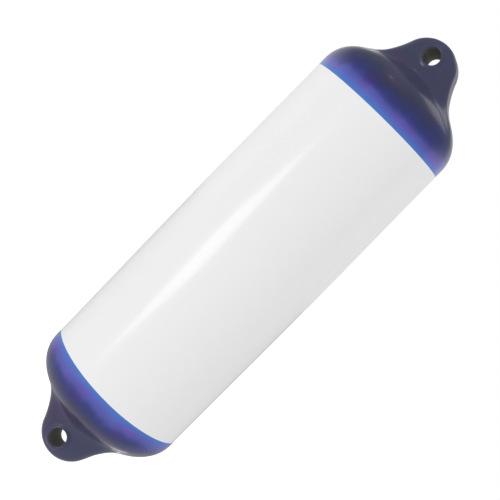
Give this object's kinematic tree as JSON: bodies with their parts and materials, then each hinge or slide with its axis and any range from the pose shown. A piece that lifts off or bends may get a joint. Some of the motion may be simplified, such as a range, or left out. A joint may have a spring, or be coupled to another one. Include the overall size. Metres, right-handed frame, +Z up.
{
  "type": "boat fender",
  "caption": "Inflatable cylindrical boat fender of glossy white vinyl, with domed blue ends, a thick rope eye moulded into each end and a screw valve in the upper dome.",
  "frame": {"origin": "centre of the upper rope hole, from which the fender hangs", "axes": "+Z up along the fender as it hangs, towards the upper eye; +Y along the rope holes, towards the side with the inflation valve; +X across the width of the eyes"},
  "size_m": [0.1518, 0.1518, 0.5289],
  "materials": {
    "vinyl": "glossy soft white vinyl, coloured dark blue at both ends",
    "nylon": "dark moulded nylon of the valve bush",
    "rubber": "black sealing ring",
    "acetal": "off-white moulded screw"
  },
  "bodies": {
    "root": {"fender_body": "vinyl", "valve_bush": "nylon", "valve_seal": "rubber", "valve_screw": "acetal"}
  },
  "joints": []
}
